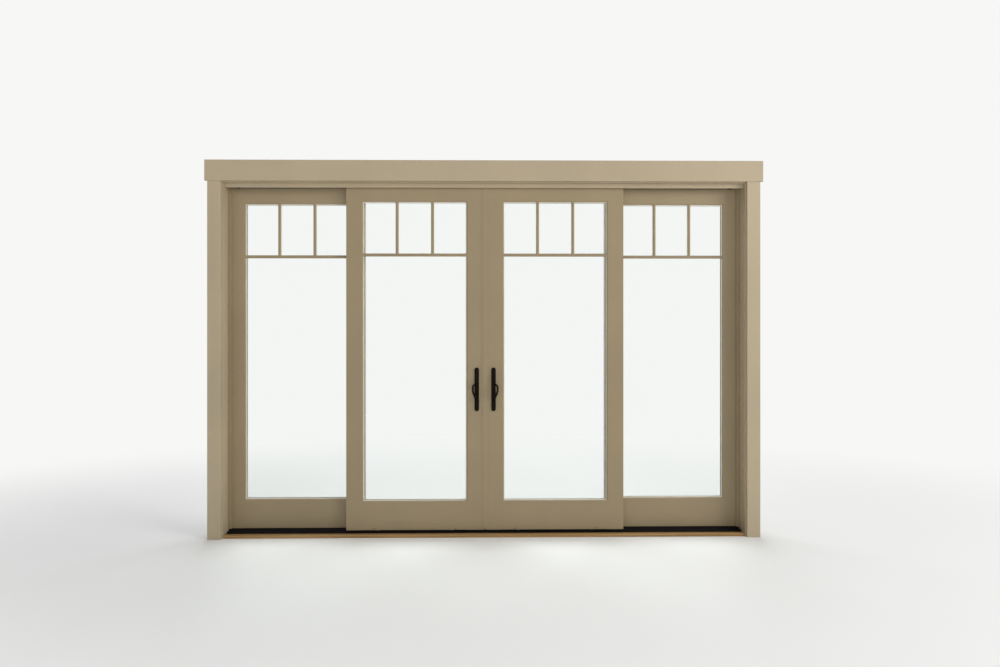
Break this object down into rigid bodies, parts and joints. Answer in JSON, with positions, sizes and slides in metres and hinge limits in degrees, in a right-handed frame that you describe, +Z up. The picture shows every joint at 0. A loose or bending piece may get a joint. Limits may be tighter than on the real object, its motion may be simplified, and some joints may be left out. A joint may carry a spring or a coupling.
{
  "type": "gliding french patio door",
  "caption": "Gliding French patio door in its frame: glazed inner panels slide apart in front of fixed outer panels, with grilles, bowed handles and a hook lock.",
  "frame": {"origin": "floor level under the middle of the sill, half way through the depth of the jambs", "axes": "+X along the wall to the right as seen from the room, +Y from the room to the outdoors, +Z up"},
  "size_m": [3.738, 0.221, 2.531],
  "materials": {
    "painted_wood": "satin cream paint",
    "stained_wood": "clear-coated stain",
    "glass": "clear sealed unit",
    "bronze": "dark bronze satin",
    "bronze_aluminium": "dark bronze anodised",
    "track_steel": "stainless",
    "wheel_steel": "turned steel",
    "housing_steel": "zinc plated",
    "lock_steel": "stainless",
    "guide_vinyl": "beige vinyl",
    "bumper_rubber": "matt"
  },
  "bodies": {
    "frame": {"left_jamb": "painted_wood", "right_jamb": "painted_wood", "head_jamb": "painted_wood", "left_stop": "painted_wood", "right_stop": "painted_wood", "head_stop": "painted_wood", "left_casing": "painted_wood", "right_casing": "painted_wood", "head_casing": "painted_wood", "sill": "bronze_aluminium", "roller_track": "track_steel", "threshold": "stained_wood", "head_guide": "guide_vinyl", "head_bumpers": "bumper_rubber", "left_fixed_inner_stile": "painted_wood", "left_fixed_outer_stile": "painted_wood", "left_fixed_top_rail": "painted_wood", "left_fixed_bottom_rail": "painted_wood", "left_fixed_grille": "painted_wood", "left_fixed_glass_unit": "glass", "left_fixed_interlock": "guide_vinyl", "right_fixed_inner_stile": "painted_wood", "right_fixed_outer_stile": "painted_wood", "right_fixed_top_rail": "painted_wood", "right_fixed_bottom_rail": "painted_wood", "right_fixed_grille": "painted_wood", "right_fixed_glass_unit": "glass", "right_fixed_interlock": "guide_vinyl"},
    "left_panel": {"left_meeting_stile": "painted_wood", "left_outer_stile": "painted_wood", "left_top_rail": "painted_wood", "left_bottom_rail": "painted_wood", "left_grille": "painted_wood", "left_glass_unit": "glass", "left_interlock": "guide_vinyl", "left_roller_housings": "housing_steel", "left_interior_handle": "bronze", "left_exterior_handle": "bronze", "left_handle_screws": "bronze", "left_strike_plate": "bronze"},
    "left_outer_wheel": {"left_outer_wheel": "wheel_steel"},
    "left_inner_wheel": {"left_inner_wheel": "wheel_steel"},
    "right_panel": {"right_meeting_stile": "painted_wood", "right_outer_stile": "painted_wood", "right_top_rail": "painted_wood", "right_bottom_rail": "painted_wood", "right_grille": "painted_wood", "right_glass_unit": "glass", "right_interlock": "guide_vinyl", "right_roller_housings": "housing_steel", "right_interior_handle": "bronze", "right_exterior_handle": "bronze", "right_handle_screws": "bronze", "right_astragal": "painted_wood", "right_lock_case": "lock_steel"},
    "right_outer_wheel": {"right_outer_wheel": "wheel_steel"},
    "right_inner_wheel": {"right_inner_wheel": "wheel_steel"},
    "key_plug": {"key_plug": "bronze"},
    "thumb_turn": {"thumb_turn": "bronze"},
    "lock_hook": {"lock_hook": "lock_steel"}
  },
  "joints": [
    {"name": "left_slide", "type": "slide", "parent": "frame", "child": "left_panel", "axis": [-1, 0, 0], "range_m": [0, 0.724]},
    {"name": "left_inner_wheel_spin", "type": "hinge", "parent": "left_panel", "child": "left_inner_wheel", "pos_m": [-0.2275, -0.0075, 0.0363], "axis": [0, -1, 0], "range_deg": [0, 2964]},
    {"name": "left_outer_wheel_spin", "type": "hinge", "parent": "left_panel", "child": "left_outer_wheel", "pos_m": [-0.7295, -0.0075, 0.0363], "axis": [0, -1, 0], "range_deg": [0, 2964]},
    {"name": "right_slide", "type": "slide", "parent": "frame", "child": "right_panel", "axis": [1, 0, 0], "range_m": [0, 0.724]},
    {"name": "right_inner_wheel_spin", "type": "hinge", "parent": "right_panel", "child": "right_inner_wheel", "pos_m": [0.2275, -0.0075, 0.0363], "axis": [0, 1, 0], "range_deg": [0, 2964]},
    {"name": "right_outer_wheel_spin", "type": "hinge", "parent": "right_panel", "child": "right_outer_wheel", "pos_m": [0.7295, -0.0075, 0.0363], "axis": [0, 1, 0], "range_deg": [0, 2964]},
    {"name": "thumb_turn_spin", "type": "hinge", "parent": "right_panel", "child": "thumb_turn", "pos_m": [0.057, -0.041, 1.063], "axis": [0, -1, 0], "range_deg": [0, 90]},
    {"name": "hook_swing", "type": "hinge", "parent": "right_panel", "child": "lock_hook", "pos_m": [0.017, -0.0075, 1.002], "axis": [0, -1, 0], "range_deg": [0, 90]},
    {"name": "key_spin", "type": "hinge", "parent": "right_panel", "child": "key_plug", "pos_m": [0.057, 0.012, 1.063], "axis": [0, -1, 0], "range_deg": [0, 90]}
  ],
  "couplings": [
    {"joint": "left_inner_wheel_spin", "follows": "left_slide", "rad_per_m": 71.429},
    {"joint": "left_outer_wheel_spin", "follows": "left_slide", "rad_per_m": 71.429},
    {"joint": "right_inner_wheel_spin", "follows": "right_slide", "rad_per_m": 71.429},
    {"joint": "right_outer_wheel_spin", "follows": "right_slide", "rad_per_m": 71.429},
    {"joint": "hook_swing", "follows": "thumb_turn_spin", "ratio": 1},
    {"joint": "key_spin", "follows": "thumb_turn_spin", "ratio": 1}
  ]
}
